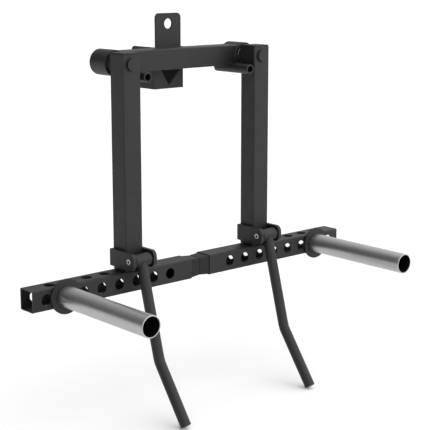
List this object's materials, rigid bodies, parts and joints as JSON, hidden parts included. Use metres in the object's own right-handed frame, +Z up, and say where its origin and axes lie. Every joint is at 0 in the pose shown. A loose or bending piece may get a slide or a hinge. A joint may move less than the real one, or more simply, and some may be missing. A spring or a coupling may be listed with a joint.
{
  "type": "twin swing-arm rack attachment",
  "caption": "Plate-loaded twin swing-arm attachment: arms hang from a rack bracket on a beam, each with half a perforated crossbar, a weight sleeve and a hinged bent handle.",
  "frame": {"origin": "on the spine plate's back face, which lies against the rack upright, midway between the arms and level with their pivots", "axes": "+X along the crossbar to the right arm, +Y from the attachment towards the rack upright, +Z up"},
  "size_m": [1.001, 0.5335, 0.9534],
  "materials": {
    "powder_coat": "satin black powder coat with a fine texture",
    "sleeve_steel": "bright plated steel tube with a fine lengthwise polish",
    "zinc_hardware": "bright zinc plate",
    "bearing_steel": "ground bearing steel",
    "black_rubber": "matt black moulded rubber"
  },
  "bodies": {
    "frame": {"top_beam": "powder_coat", "bracket_spine_plate": "powder_coat", "bracket_left_side_plate": "powder_coat", "bracket_right_side_plate": "powder_coat", "left_pivot_housing": "powder_coat", "left_front_bearing": "bearing_steel", "left_rear_bearing": "bearing_steel", "left_stop_peg": "powder_coat", "right_pivot_housing": "powder_coat", "right_front_bearing": "bearing_steel", "right_rear_bearing": "bearing_steel", "right_stop_peg": "powder_coat"},
    "left_arm": {"left_pivot_shaft": "powder_coat", "left_pivot_spacer": "powder_coat", "left_pivot_nut": "zinc_hardware", "left_arm_tube": "powder_coat", "left_arm_cap": "black_rubber", "left_crossbar_half": "powder_coat", "left_nose": "black_rubber", "left_sleeve_flange": "powder_coat", "left_weight_sleeve": "sleeve_steel", "left_outer_clevis_plate": "powder_coat", "left_inner_clevis_plate": "powder_coat", "left_hinge_washer": "powder_coat", "left_hinge_bolt": "zinc_hardware", "left_hinge_nut": "zinc_hardware", "left_handle_stop": "powder_coat"},
    "left_handle": {"left_handle_barrel": "powder_coat", "left_handle_bar": "powder_coat"},
    "right_arm": {"right_pivot_shaft": "powder_coat", "right_pivot_spacer": "powder_coat", "right_pivot_nut": "zinc_hardware", "right_arm_tube": "powder_coat", "right_arm_cap": "black_rubber", "right_crossbar_half": "powder_coat", "right_nose": "black_rubber", "right_sleeve_flange": "powder_coat", "right_weight_sleeve": "sleeve_steel", "right_outer_clevis_plate": "powder_coat", "right_inner_clevis_plate": "powder_coat", "right_hinge_washer": "powder_coat", "right_hinge_bolt": "zinc_hardware", "right_hinge_nut": "zinc_hardware", "right_handle_stop": "powder_coat"},
    "right_handle": {"right_handle_barrel": "powder_coat", "right_handle_bar": "powder_coat"}
  },
  "joints": [
    {"name": "left_arm_swing", "type": "hinge", "parent": "frame", "child": "left_arm", "pos_m": [-0.2085, -0.1008, 0], "axis": [0, 1, 0], "range_deg": [0, 95]},
    {"name": "left_handle_swing", "type": "hinge", "parent": "left_arm", "child": "left_handle", "pos_m": [-0.2085, -0.1523, -0.463], "axis": [-1, 0, 0], "range_deg": [0, 100]},
    {"name": "right_arm_swing", "type": "hinge", "parent": "frame", "child": "right_arm", "pos_m": [0.2085, -0.1008, 0], "axis": [0, -1, 0], "range_deg": [0, 95]},
    {"name": "right_handle_swing", "type": "hinge", "parent": "right_arm", "child": "right_handle", "pos_m": [0.2085, -0.1523, -0.463], "axis": [-1, 0, 0], "range_deg": [0, 100]}
  ]
}
